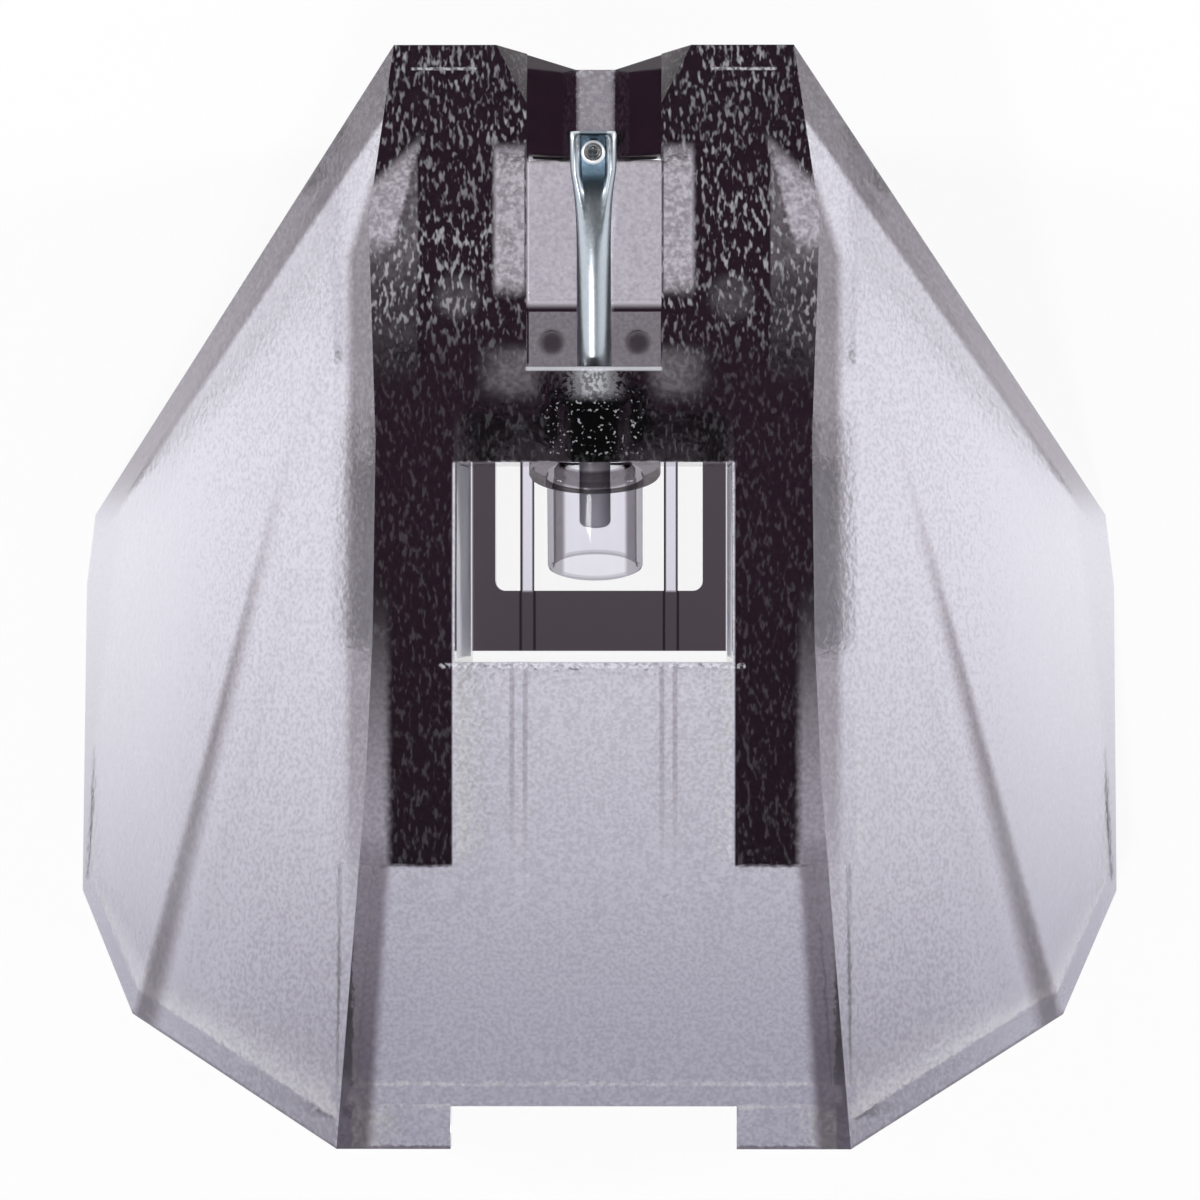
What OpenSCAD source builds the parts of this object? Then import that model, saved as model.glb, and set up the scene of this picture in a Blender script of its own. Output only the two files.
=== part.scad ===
// Replacement stylus unit of a moving magnet turntable cartridge, lying with the stylus up.
// X points to the right, Y to the front of the cartridge and Z up. The lower rim is at z = 0.
// The housing is one clear grey moulding with flat facets. The stylus arm is tilted in its slot.

/* [Housing outline] */
// length of the housing, front to rear
hood_l = 18.31; // [17.9:0.01:18.8]
// width across the two rear side corners
hood_w = 17.88; // [17.5:0.01:18.4]
// half width of the nose at its front edge
nose_half = 3.32; // [3.2:0.01:3.5]
// height of the front edge of the nose
nose_z = 7; // [6.8:0.01:7.2]
// distance by which the front faces lean in at the rim
front_lean = 1.1; // [0.8:0.01:1.3]
// inset of the front side corners from the widest point
side_step = 0.15; // [0.05:0.01:0.3]
// position of the front side corners
side_front_y = 1.425; // [1:0.01:1.8]
// position of the rear side corners
side_rear_y = -5.075; // [-5.4:0.01:-4.8]
// height of the upright skirt at the rear side corners
skirt_z = 1; // [0.7:0.01:1.2]
// half width at the shoulders, where each long ridge ends
shoulder_x = 7.94; // [7.8:0.01:8.1]
// position of the shoulders
shoulder_y = -7.125; // [-7.4:0.01:-6.9]
// half width of the tail edge
tail_half = 4.26; // [4.1:0.01:4.5]
// height of the tail edge
tail_z = 7.3; // [7.2:0.01:7.4]
// height of the top strip in the dip behind the nose
dip_z = 6.72; // [6.65:0.01:6.85]
// distance of that dip behind the front edge
dip_d = 2.86; // [2.6:0.01:3.1]

/* [Housing walls] */
// thickness of the sloping facets
facet_t = 0.7; // [0.6:0.01:0.85]
// thickness of the top strip
strip_t = 0.8; // [0.7:0.01:0.9]
// thickness of the upright outer walls
rim_t = 0.5; // [0.4:0.01:0.6]
// half width of the channel between the rails, at the top
channel_top = 2.35; // [2.3:0.01:2.45]
// half width of the channel between the rails, at the bottom
channel_bottom = 2.2; // [2.15:0.01:2.3]
// half width over the outer faces of the rails
rail_half = 4.1; // [3.95:0.01:4.2]
// position of the square rear ends of the rails
rail_rear_y = -4.46; // [-4.8:0.01:-4.2]
// height of the lower faces of the rails and legs
leg_z = 0.4; // [0.2:0.01:0.6]
// height of the underside of the nose block
block_z = 2.5; // [2.1:0.01:2.9]
// length of the nose block, from the front edge to the window
block_l = 6.93; // [6.8:0.01:7]
// position of the rear edge of the window
window_rear_y = -1.09; // [-1.2:0.01:-1]
// half width of the notch in the tail edge
notch_half = 2.37; // [2.2:0.01:2.5]
// depth of that notch
notch_depth = 0.71; // [0.5:0.01:0.9]
// thickness of the lip along the notch
lip_t = 0.32; // [0.25:0.01:0.4]
// width of the thin ribs
rib_t = 0.24; // [0.2:0.01:0.3]
// distance of the thin ribs from the middle
rib_x = 1.24; // [1.15:0.01:1.3]

/* [Slot in the nose] */
// half width of the slot round the stylus arm
slot_half = 1.12; // [1.05:0.01:1.2]
// length of the slot, from the front edge to its rear end
slot_l = 5.335; // [5.26:0.005:5.37]
// height of the slot floor
slot_floor_z = 5.5; // [5.3:0.01:5.6]
// height of the step at the rear of the slot
slot_step_z = 5.95; // [5.85:0.01:6]
// height of the flat bottom of the front valley
valley_z = 5.1; // [5:0.01:5.2]
// half width of the front valley at its mouth
valley_half = 1.62; // [1.5:0.01:1.7]
// thickness of the web between the slot and the pocket below it
web_t = 0.8; // [0.7:0.01:0.9]

/* [Stylus arm] */
// tilt of the arm, rising to the front
arm_tilt = 18; // [17:0.1:18.5]
// height of the arm axis at the rear face of the nose block
arm_z = 5.95; // [5.9:0.01:6]
// outer diameter of the arm tube
arm_d = 0.58; // [0.54:0.01:0.6]
// wall of the arm tube
arm_wall = 0.03; // [0.025:0.001:0.04]
// width of the flattened end of the arm
paddle_w = 0.78; // [0.72:0.01:0.84]
// thickness of the flattened end of the arm
paddle_t = 0.24; // [0.2:0.01:0.28]
// distance of the stylus from the rear face of the nose block, along the arm
stylus_u = 5.38; // [5.2:0.01:5.45]
// diameter of the stylus shank
shank_d = 0.26; // [0.22:0.01:0.28]
// height of the stylus shank above the arm axis
shank_top = 0.36; // [0.3:0.01:0.42]
// height of the diamond
diamond_l = 0.26; // [0.2:0.01:0.3]

/* [Bearing and magnet] */
// outer diameter of the clear sleeve round the magnet
sleeve_d = 1.6; // [1.55:0.01:1.65]
// wall of the clear sleeve
sleeve_wall = 0.12; // [0.1:0.005:0.14]
// outer diameter of the spigot of the sleeve, inside the nose block
spigot_d = 1.2; // [1.16:0.01:1.24]
// length of the spigot
spigot_l = 1.1; // [1:0.01:1.14]
// diameter of the sleeve flange
flange_d = 2.2; // [2.1:0.01:2.26]
// thickness of the sleeve flange
flange_t = 0.2; // [0.16:0.01:0.24]
// length of the sleeve behind the flange
sleeve_l = 1.62; // [1.5:0.01:1.7]
// length of the damper
damper_l = 0.6; // [0.54:0.01:0.64]
// position of the middle of the damper, along the arm
damper_u = 0.62; // [0.58:0.01:0.64]
// length of the magnet behind the nose block
magnet_l = 1.06; // [0.95:0.01:1.15]
// running gap round the parts that swing
swing_gap = 0.03; // [0.025:0.001:0.035]
// gap round the sleeve in the nose block
seat_gap = 0.01; // [0.008:0.001:0.014]

/* [View] */
// part to show

/* [Hidden] */
$fn = 48;
span = 40;
over_z = tail_z + 3;
nose_y = hood_l / 2;
tail_y = -hood_l / 2;
side_x = hood_w / 2;
side_front = [side_x - side_step, side_front_y, 0];
side_rear = [side_x, side_rear_y, skirt_z];
nose = [nose_half, nose_y, nose_z];
tail = [tail_half, tail_y, tail_z];
facet_n = facing(side_front, side_rear, nose);
shoulder_z = height_on(side_front, facet_n, shoulder_x, shoulder_y);
shoulder = [shoulder_x, shoulder_y, shoulder_z];
ridge_n = facing(nose, shoulder, tail);
front_n = facing(side_front, nose, [nose_half, nose_y - front_lean, 0]);
brow_n = facing(nose, [0, nose_y, nose_z], [0, nose_y - front_lean, 0]);
flank_n = facing(side_rear, shoulder, [shoulder_x, shoulder_y, 0]);
rear_n = facing(shoulder, tail, [tail_half, tail_y, 0]);
strip_mid_z = (nose_z + tail_z) / 2;
strip_peak_z = tail_z + 0.1;
dip_y = nose_y - dip_d;
rise_y = nose_y - 6.56;
block_y = nose_y - block_l;
slot_rear_y = nose_y - slot_l;
slot_mid_y = slot_rear_y + 0.94;
slot_end_y = nose_y - 1.855;
pocket_front_y = nose_y - 1.755;
pocket_rear_y = nose_y - 4.155;
pocket_half = 1.62;
leg_half = 2.95;
leg_rear_y = nose_y - 5.225;
leg_front_y = nose_y - 0.325;
open_half = tail_half - 0.25;
valley_flat = 0.33;
valley_edge_z = valley_z + 1.45 * (slot_half - valley_flat);
flare_y = nose_y - 0.955;
flare_n = leaning([valley_half, nose_y, nose_z], [slot_half, flare_y, nose_z - 0.1], [slot_half, nose_y, valley_edge_z]);
frame_half = 1.79;
frame_front_y = block_y + 0.675;
frame_rear_y = -0.94;
frame_inner_y = 0.1;
frame_t = 0.8;
frame_round = 0.17;
rib_end_y = -5;
rib_h = 0.35;
lip_h = 0.6;
mark_x = 2.28;
mark_y = nose_y - 4.185;
dimple_y = slot_rear_y + 0.43;
mark_r = 0.42;
dimple_r = 0.2;
dimple_x = 0.72;
neck_r = 0.4;
plug_room = 0.25;
sleeve_bore = sleeve_d - 2 * sleeve_wall;
spigot_bore = spigot_d - 2 * 0.09;
damper_d = spigot_bore - 2 * swing_gap;
arm_hole = arm_d + 2 * swing_gap;
sleeve_lip = 0.12;
magnet_d = arm_d - 2 * arm_wall;
arm_rear_u = damper_u - damper_l / 2 - 0.12;
flat_start_u = 3.3;
flat_end_u = 5.02;
arm_end_u = stylus_u + 0.34;
trough_half = paddle_w / 2 - 0.12;
trough_floor = 0.02;
trough_end = 0.05;
trough_taper = 0.5;
collar_d = shank_d + 0.16;
collar_h = 0.19;
collar_drop = 0.06;
stylus_y = block_y + stylus_u * cos(arm_tilt);
stylus_z = arm_z + stylus_u * sin(arm_tilt);

// outward normal of the plane through three points of the housing
function facing(a, b, c) = let(n = cross(b - a, c - a)) (n * (a - [0, 0, 3]) < 0 ? -n : n) / norm(n);
// normal of the plane through three points, turned to point to the right
function leaning(a, b, c) = let(n = cross(b - a, c - a)) (n[0] < 0 ? -n : n) / norm(n);
// height of a plane above a point of the ground
function height_on(p, n, x, y) = p[2] - (n[0] * (x - p[0]) + n[1] * (y - p[1])) / n[2];

// everything behind the plane through p with normal n, moved back by an inset
module behind(p, n, inset = 0) {
  translate(p - inset * n)
    rotate([0, acos(n[2]), atan2(n[1], n[0])])
      translate([-span, -span, -2 * span])
        cube(2 * span);
}

// places a part on the arm axis, with its Z along the arm, at a distance from the nose block
module on_arm(u = 0) {
  translate([0, block_y, arm_z])
    rotate([arm_tilt - 90, 0, 0])
      translate([0, 0, u])
        children();
}

// a side view of Y and Z points, drawn out along X to both sides
module across(half) {
  translate([-half, 0, 0])
    rotate([90, 0, 90])
      linear_extrude(2 * half)
        children();
}

// a front view of X and Z points, drawn out along Y
module along(y0, y1) {
  translate([0, y1, 0])
    rotate([90, 0, 0])
      linear_extrude(y1 - y0)
        children();
}

// a part and its mirror image on the left side
module both() {
  children();
  mirror([1, 0, 0])
    children();
}

// a box from one corner to the other
module block(low, high) {
  translate(low)
    cube(high - low);
}

// the facets and outer walls of the right side
module side_faces(facet, wall) {
  intersection() {
    behind(side_front, facet_n, facet);
    behind(nose, ridge_n, facet);
    behind(side_front, front_n, wall);
    behind(side_rear, flank_n, wall);
    behind(shoulder, rear_n, wall);
    behind([side_x, side_rear_y, 0], [1, 0, 0], wall);
  }
}

// the outside shape as one solid, with its walls taken off on request
module shape(facet = 0, wall = 0, strip = 0, low = 0) {
  intersection() {
    side_faces(facet, wall);
    mirror([1, 0, 0])
      side_faces(facet, wall);
    behind(nose, brow_n, wall);
    across(span)
      polygon([
        [tail_y, low],
        [nose_y, low],
        [nose_y, nose_z - strip],
        [dip_y, dip_z - strip],
        [rise_y, strip_mid_z - strip],
        [-0.7, strip_peak_z - 0.05 - strip],
        [-3.1, strip_peak_z - strip],
        [tail_y, tail_z - strip]
      ]);
  }
}

// the shell with its upright outer walls, open below and at the rear under the top strip
module shell() {
  difference() {
    shape();
    shape(facet_t, rim_t, strip_t, -1);
    block([-open_half, tail_y - 1, -1], [open_half, rail_rear_y, tail_z - strip_t]);
  }
}

// the two long rails, with the channel between them a little wider at the top
module rails() {
  difference() {
    block([-rail_half, rail_rear_y, leg_z], [rail_half, leg_rear_y, over_z]);
    channel(rail_rear_y - 1, leg_rear_y + 1, leg_z - 0.1);
  }
}

// the space between the rails
module channel(y0, y1, z0) {
  along(y0, y1)
    polygon([
      [-channel_bottom, z0],
      [channel_bottom, z0],
      [channel_top, over_z],
      [-channel_top, over_z]
    ]);
}

// the nose block with a leg under each prong
module nose_block() {
  block([-rail_half, block_y, block_z], [rail_half, nose_y, over_z]);
  both()
    block([pocket_half, leg_rear_y, leg_z], [leg_half, leg_front_y, block_z + 0.1]);
}

// ribs and lip under the top strip
module strip_ribs() {
  both()
    block([rib_x - rib_t / 2, rib_end_y, tail_z - strip_t - rib_h], [rib_x + rib_t / 2, window_rear_y, over_z]);
  block([-open_half - 0.1, tail_y + notch_depth, tail_z - strip_t - lip_h], [open_half + 0.1, tail_y + notch_depth + lip_t, over_z]);
}

// the floor frame across the foot of the channel, with two thin bars over its opening
module floor_frame() {
  difference() {
    block([-channel_top, frame_rear_y, leg_z], [channel_top, frame_front_y, leg_z + frame_t]);
    translate([0, 0, leg_z - 1])
      linear_extrude(frame_t + 2)
        frame_opening();
  }
  both()
    block([rib_x - rib_t / 2, frame_rear_y + 0.1, leg_z + 0.1], [rib_x + rib_t / 2, frame_front_y - 0.1, leg_z + frame_t]);
}

// the opening with its two rounded rear corners
module frame_opening() {
  translate([-frame_half, frame_inner_y + frame_round])
    square([2 * frame_half, block_y + 0.2 - frame_inner_y - frame_round]);
  translate([-frame_half + frame_round, frame_inner_y])
    square([2 * frame_half - 2 * frame_round, 2 * frame_round]);
  for (x = [-frame_half + frame_round, frame_half - frame_round])
    translate([x, frame_inner_y + frame_round])
      circle(frame_round);
}

// the slot round the arm, with its step, its dimples and the valley at the front
module slot() {
  block([-slot_half, slot_rear_y, slot_step_z], [slot_half, slot_end_y, over_z]);
  block([-slot_half, slot_mid_y, slot_floor_z], [slot_half, slot_end_y, over_z]);
  along(slot_end_y - 0.01, nose_y + 1)
    polygon([
      [-slot_half, over_z],
      [-slot_half, valley_edge_z],
      [-valley_flat, valley_z],
      [valley_flat, valley_z],
      [slot_half, valley_edge_z],
      [slot_half, over_z]
    ]);
  both()
    intersection() {
      behind([valley_half, nose_y, nose_z], flare_n);
      block([slot_half - 0.1, flare_y - 0.5, valley_edge_z], [valley_half + 0.5, nose_y + 1, over_z]);
    }
  for (x = [-dimple_x, dimple_x])
    translate([x, dimple_y, slot_step_z - 0.35])
      cylinder(r = dimple_r, h = 1);
}

// the bore of the sleeve, its seat and the neck for the arm
module bearing_bore() {
  on_arm(-flange_t)
    cylinder(r = flange_d / 2 + 2 * seat_gap, h = flange_t);
  on_arm(-flange_d)
    cylinder(r = flange_d / 2 + plug_room, h = flange_d - flange_t);
  on_arm(-0.1)
    cylinder(r = spigot_d / 2 + seat_gap, h = spigot_l + 0.12);
  on_arm(spigot_l - 0.1)
    cylinder(r = neck_r, h = 0.95);
}

// hollows that reach up into the block and legs from below
module lower_pockets() {
  block([-pocket_half, pocket_rear_y, -1], [pocket_half, pocket_front_y, slot_floor_z - web_t]);
  for (x = [-mark_x, mark_x])
    translate([x, mark_y, leg_z - 1])
      cylinder(r = mark_r, h = 1.1);
}

// one clear moulding: hood, nose block, rails, ribs and floor frame
module housing() {
  color([0.62, 0.6, 0.66])
    difference() {
      union() {
        shell();
        intersection() {
          shape();
          union() {
            nose_block();
            rails();
            strip_ribs();
          }
        }
        floor_frame();
      }
      channel(window_rear_y, block_y, leg_z + frame_t);
      slot();
      bearing_bore();
      lower_pockets();
      block([-notch_half, tail_y - 1, tail_z - strip_t - 1], [notch_half, tail_y + notch_depth, over_z]);
    }
}

// the clear sleeve: a thin spigot in the block, a flange and a wider tube round the magnet
module clear_sleeve() {
  color([0.85, 0.86, 0.9])
    on_arm()
      difference() {
        union() {
          cylinder(d = spigot_d, h = spigot_l);
          translate([0, 0, -flange_t])
            cylinder(d = flange_d, h = flange_t);
          translate([0, 0, -flange_t - sleeve_l])
            cylinder(d = sleeve_d, h = sleeve_l);
        }
        translate([0, 0, -flange_t - sleeve_l - 1])
          cylinder(d = sleeve_bore, h = sleeve_l + flange_t + 0.9);
        translate([0, 0, -0.5])
          cylinder(d = spigot_bore, h = spigot_l - sleeve_lip + 0.5);
        cylinder(r = neck_r, h = spigot_l + 1);
      }
}

// the rubber damper in which the arm pivots
module damper() {
  color([0.06, 0.07, 0.08])
    on_arm(damper_u - damper_l / 2)
      difference() {
        cylinder(d = damper_d, h = damper_l);
        translate([0, 0, -1])
          cylinder(d = arm_hole, h = damper_l + 2);
      }
}

// the rod magnet in the rear end of the arm tube
module magnet() {
  color([0.25, 0.25, 0.27])
    on_arm(-magnet_l)
      cylinder(d = magnet_d, h = magnet_l + arm_rear_u + 0.3);
}

// the arm: a thin tube, flattened to a paddle round the stylus
module arm_tube() {
  color([0.72, 0.78, 0.84])
    difference() {
      union() {
        on_arm()
          arm_blank();
        translate([0, stylus_y, stylus_z - collar_drop])
          cylinder(d = collar_d, h = collar_h);
      }
      on_arm(arm_rear_u - arm_d)
        cylinder(d = magnet_d, h = flat_start_u - arm_rear_u + arm_d);
      translate([0, stylus_y, stylus_z - arm_d])
        cylinder(d = shank_d, h = 2 * arm_d);
    }
}

// the outside of the arm, along its own axis
module arm_blank() {
  translate([0, 0, arm_rear_u])
    cylinder(d = arm_d, h = flat_start_u - arm_rear_u);
  difference() {
    intersection() {
      union() {
        translate([0, 0, flat_start_u])
          cylinder(d1 = arm_d, d2 = paddle_w, h = flat_end_u - flat_start_u);
        translate([0, 0, flat_end_u])
          cylinder(d = paddle_w, h = arm_end_u - flat_end_u);
      }
      across(paddle_w)
        polygon([
          [-arm_d / 2, flat_start_u],
          [arm_d / 2, flat_start_u],
          [paddle_t / 2, flat_end_u],
          [paddle_t / 2, arm_end_u],
          [-paddle_t / 2, arm_end_u],
          [-paddle_t / 2, flat_end_u]
        ]);
    }
    translate([0, -trough_floor, 0])
      rotate([90, 0, 0])
        linear_extrude(arm_d)
          polygon([
            [-trough_half, arm_end_u - trough_end],
            [-trough_half, flat_end_u],
            [0, flat_end_u - trough_taper],
            [trough_half, flat_end_u],
            [trough_half, arm_end_u - trough_end]
          ]);
  }
}

// the stylus shank, upright in the paddle, with a small bevel round its top
module stylus_shank() {
  color([0.6, 0.6, 0.62])
    translate([0, stylus_y, stylus_z])
      rotate_extrude()
        polygon([
          [0, -0.22],
          [shank_d / 2, -0.22],
          [shank_d / 2, shank_top - 0.08],
          [shank_d / 3, shank_top],
          [0, shank_top]
        ]);
}

// the diamond: a short round base and a cone with a tiny blunt end
module diamond() {
  color([0.2, 0.2, 0.2])
    translate([0, stylus_y, stylus_z + shank_top])
      rotate_extrude()
        polygon([
          [0, 0],
          [shank_d / 3, 0],
          [shank_d / 3, 0.06],
          [0.018, diamond_l - 0.012],
          [0.006, diamond_l],
          [0, diamond_l]
        ]);
}

housing();
clear_sleeve();
damper();
magnet();
arm_tube();
stylus_shank();
diamond();
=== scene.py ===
"""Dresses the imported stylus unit: a clear smoke grey hood with a pebbled skin, the clear sleeve with its
magnet and damper, and the bright stylus arm with its shank and diamond, on a white light table."""

import math

import bmesh
import bpy
from mathutils import Matrix, Vector


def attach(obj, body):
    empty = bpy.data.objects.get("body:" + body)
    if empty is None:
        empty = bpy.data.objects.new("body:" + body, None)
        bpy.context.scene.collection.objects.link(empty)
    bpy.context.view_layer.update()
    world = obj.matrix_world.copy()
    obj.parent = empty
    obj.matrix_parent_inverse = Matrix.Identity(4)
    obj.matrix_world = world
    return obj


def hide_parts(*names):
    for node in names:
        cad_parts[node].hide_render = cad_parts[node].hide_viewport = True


bl_info = {
    "name": "Stylus unit",
    "version": (1, 0, 0),
    "blender": (4, 5, 0),
    "location": "View3D > Sidebar > Stylus",
    "description": "Clear grey stylus unit with a swinging stylus arm",
    "category": "Object",
}

MM = 0.001
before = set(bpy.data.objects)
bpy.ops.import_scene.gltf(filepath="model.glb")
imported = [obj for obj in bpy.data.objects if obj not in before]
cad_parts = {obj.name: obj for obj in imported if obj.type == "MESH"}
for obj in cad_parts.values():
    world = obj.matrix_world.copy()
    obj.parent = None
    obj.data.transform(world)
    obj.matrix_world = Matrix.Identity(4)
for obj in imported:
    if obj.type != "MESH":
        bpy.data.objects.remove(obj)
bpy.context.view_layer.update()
ARM_TILT = math.radians(18)
ARM_FOOT = Vector((0, 2.225, 5.95))  # mm, where the arm's axis leaves the rear face of the nose block
STYLUS_ALONG = 5.38  # mm along the arm
PLASTIC_IOR = 1.49

# Places on the hood in mm, as in the part's source. The painted smoke and painted shade follow them.
FRONT_Y = 9.155
NOSE_HALF = 3.32  # half the width of the front edge
STRIP_SPREAD = 0.28378  # how far the strip widens per mm to the rear
FRONT_SLOPE = 1.413  # how far the outer front edge falls back per mm to the side
FRONT_SHRINK = 0.578  # turns that into a distance square to the edge
SHOULDER_X = 7.94
SHOULDER_Y = -7.125
TAIL_SLOPE = 0.5516  # how far the outer rear edge runs forward per mm to the side
STRIP_LOW_Z = 6.3  # below every point of the top strip
VALLEY_Z = 5.1  # floor of the valley in the front edge
LEDGE_X = 2.2938  # wall of the channel at the window
RIB_X = 1.24  # middle of each bar and of each pair of ribs
MARK = (2.28, 4.97)  # round moulding mark in the foot of a front leg
DIMPLE = (0.72, 4.25)  # round dimple in the slot's step

# The photo's camera and the lamps, in metres and watts.
PHOTO_HEIGHT = 0.15
PHOTO_LENS = 258.5
EYE_X = 2.2 * MM
AIM_Y = -0.06 * MM
LAMP_SIZE = 0.05
LAMP_WATTS = 0.25
LAMPS = {"key_lamp": (-0.21, 0.05, 0.12), "side_lamp": (0.21, 0.05, 0.12), "rear_lamp": (-0.06, -0.17, 0.2)}


# ---------------------------------------------------------------- sizes and colours


class HoodSizes(bpy.types.PropertyGroup):
    """Skin, edges and tint of the clear grey hood."""

    edge_round: bpy.props.FloatProperty(
        name="Edge rounding", description="Rounding of the moulded edges, in mm", default=0.035, min=0, max=0.1
    )
    pebble_size: bpy.props.FloatProperty(
        name="Pebble size", description="Size of the grains of the skin, in mm", default=0.13, min=0.02, max=0.5
    )
    pebble_depth: bpy.props.FloatProperty(
        name="Pebble depth", description="Depth of those grains, in mm", default=0.02, min=0, max=0.1
    )
    clear_tint: bpy.props.FloatVectorProperty(
        name="Clear tint",
        description="Tint of one thin wall",
        subtype="COLOR",
        default=(0.88, 0.87, 0.91),
        min=0,
        max=1,
    )
    # The smoke tint also colours middling painted shade on the hood.
    smoke_tint: bpy.props.FloatVectorProperty(
        name="Smoke tint",
        description="Tint of walls of middling smoke",
        subtype="COLOR",
        default=(0.9, 0.69, 0.8),
        min=0,
        max=1,
    )
    # The core tint also colours the darkest painted shade on the hood.
    core_tint: bpy.props.FloatVectorProperty(
        name="Core tint",
        description="Tint of the thick nose and rails",
        subtype="COLOR",
        default=(0.0006, 0.00014, 0.0004),
        min=0,
        max=1,
    )


class ArmSizes(bpy.types.PropertyGroup):
    """Shape and metal of the stylus arm."""

    rim_width: bpy.props.FloatProperty(
        name="Rim width", description="Width of the rims of the flat end, in mm", default=0.17, min=0.05, max=0.25
    )
    metal: bpy.props.FloatVectorProperty(
        name="Metal",
        description="Colour of the drawn tube",
        subtype="COLOR",
        default=(0.72, 0.79, 0.86),
        min=0,
        max=1,
    )


class StageSizes(bpy.types.PropertyGroup):
    """Floor, lamps and camera."""

    camera_height: bpy.props.FloatProperty(
        name="Camera height", description="Height of the camera above the table", default=PHOTO_HEIGHT, unit="LENGTH"
    )
    dome: bpy.props.FloatProperty(name="Dome", description="Light of the studio round the unit", default=0.7, min=0)
    zenith: bpy.props.FloatProperty(name="Zenith", description="Light from straight above", default=0.04, min=0)
    table_tint: bpy.props.FloatVectorProperty(
        name="Table",
        description="Colour of the light table",
        subtype="COLOR",
        default=(0.93, 0.93, 0.94),
        min=0,
        max=1,
    )


# ---------------------------------------------------------------- shader values


class Value:
    """A number that varies over a surface. Arithmetic on it adds Math nodes."""

    def __init__(self, finish, socket):
        self.finish = finish
        self.socket = socket

    def math(self, operation, other=None, swapped=False):
        pair = [self.socket] if other is None else [self.socket, getattr(other, "socket", other)]
        if swapped:
            pair.reverse()
        return self.finish.add("ShaderNodeMath", {"operation": operation}, pair)

    def __add__(self, other):
        return self.math("ADD", other)

    def __sub__(self, other):
        return self.math("SUBTRACT", other)

    def __rsub__(self, other):
        return self.math("SUBTRACT", other, swapped=True)

    def __mul__(self, other):
        return self.math("MULTIPLY", other)

    __radd__ = __add__
    __rmul__ = __mul__

    def bigger(self, other):
        return self.math("MAXIMUM", other)

    def smaller(self, other):
        return self.math("MINIMUM", other)

    def size(self):
        return self.math("ABSOLUTE")

    def between(self, low, high):
        """0 below low and 1 above high, with a soft step between them."""
        return self.finish.add(
            "ShaderNodeMapRange",
            {"interpolation_type": "SMOOTHSTEP"},
            {"Value": self, "From Min": low, "From Max": high},
        )

    def below(self, low, high):
        """1 below low and 0 above high."""
        return 1 - self.between(low, high)

    def near(self, centre, inner, outer):
        """1 up to inner on both sides of centre, and 0 from outer on."""
        return (self - centre).size().below(inner, outer)


class Finish:
    """A material and the nodes that are added to it."""

    def __init__(self, name):
        self.material = bpy.data.materials.new(name)
        self.material.use_nodes = True
        self.tree = self.material.node_tree
        self.tree.nodes.clear()
        self.shader = self.tree.nodes.new("ShaderNodeBsdfPrincipled")
        self.output = self.tree.nodes.new("ShaderNodeOutputMaterial")
        self.tree.links.new(self.shader.outputs[0], self.output.inputs["Surface"])
        self.point = self.tree.nodes.new("ShaderNodeTexCoord").outputs["Object"]

    def add(self, kind, settings=None, sockets=None, out=0):
        """A new node: its settings first, then the values or links of its sockets."""
        node = self.tree.nodes.new(kind)
        for key, value in (settings or {}).items():
            setattr(node, key, value)
        pairs = sockets.items() if isinstance(sockets, dict) else enumerate(sockets or [])
        for key, value in pairs:
            self.feed(node.inputs[key], value)
        return Value(self, node.outputs[out])

    def feed(self, socket, value):
        source = getattr(value, "socket", value)
        if isinstance(source, bpy.types.NodeSocket):
            self.tree.links.new(source, socket)
        else:
            socket.default_value = source

    def set(self, **sockets):
        for key, value in sockets.items():
            self.feed(self.shader.inputs[key.replace("_", " ")], value)

    def place(self):
        """X, Y and Z of the surface point in mm."""
        parts = self.tree.nodes.new("ShaderNodeSeparateXYZ")
        self.tree.links.new(self.point, parts.inputs[0])
        return [Value(self, socket) * (1 / MM) for socket in parts.outputs]

    def stretched(self, rotation, scale):
        """The surface point scaled and turned, for grains that are longer one way."""
        return self.add("ShaderNodeMapping", None, {"Vector": self.point, "Rotation": rotation, "Scale": scale})

    def grain(self, size, detail=2.0, point=None):
        """Noise from 0 to 1 with grains of that size in mm."""
        sockets = {"Vector": point or self.point, "Scale": 1 / (size * MM), "Detail": detail}
        return self.add("ShaderNodeTexNoise", None, sockets)

    def mix(self, factor, low, high):
        """A colour between two colours."""
        node = self.tree.nodes.new("ShaderNodeMix")
        node.data_type = "RGBA"
        self.feed(node.inputs["Factor"], factor)
        self.feed(node.inputs[6], low if hasattr(low, "socket") else (*low, 1))
        self.feed(node.inputs[7], high if hasattr(high, "socket") else (*high, 1))
        return Value(self, node.outputs[2])

    def tinted(self, low, high):
        """Two colours multiplied."""
        settings = {"data_type": "RGBA", "blend_type": "MULTIPLY"}
        return self.add("ShaderNodeMix", settings, {0: 1.0, 6: low, 7: high}, out=2)

    def bump(self, height, depth):
        """Feeds Normal with a height from 0 to 1 and its depth in mm."""
        self.set(Normal=self.add("ShaderNodeBump", None, {"Height": height, "Distance": depth * MM, "Strength": 1.0}))

    def cover(self, factor, other):
        """Mixes another shader over the first one."""
        both = self.add("ShaderNodeMixShader", None, {0: factor, 1: self.shader.outputs[0], 2: other})
        self.tree.links.new(both.socket, self.output.inputs["Surface"])


# ---------------------------------------------------------------- finishes


def along_arm(y, z):
    """How far a point lies along the arm, in mm from the rear face of the nose block."""
    return (y - ARM_FOOT.y) * math.cos(ARM_TILT) + (z - ARM_FOOT.z) * math.sin(ARM_TILT)


def square_distance(side, y, spot):
    """The distance to a spot on the hood, squared."""
    return (side - spot[0]) * (side - spot[0]) + (y - spot[1]) * (y - spot[1])


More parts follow.
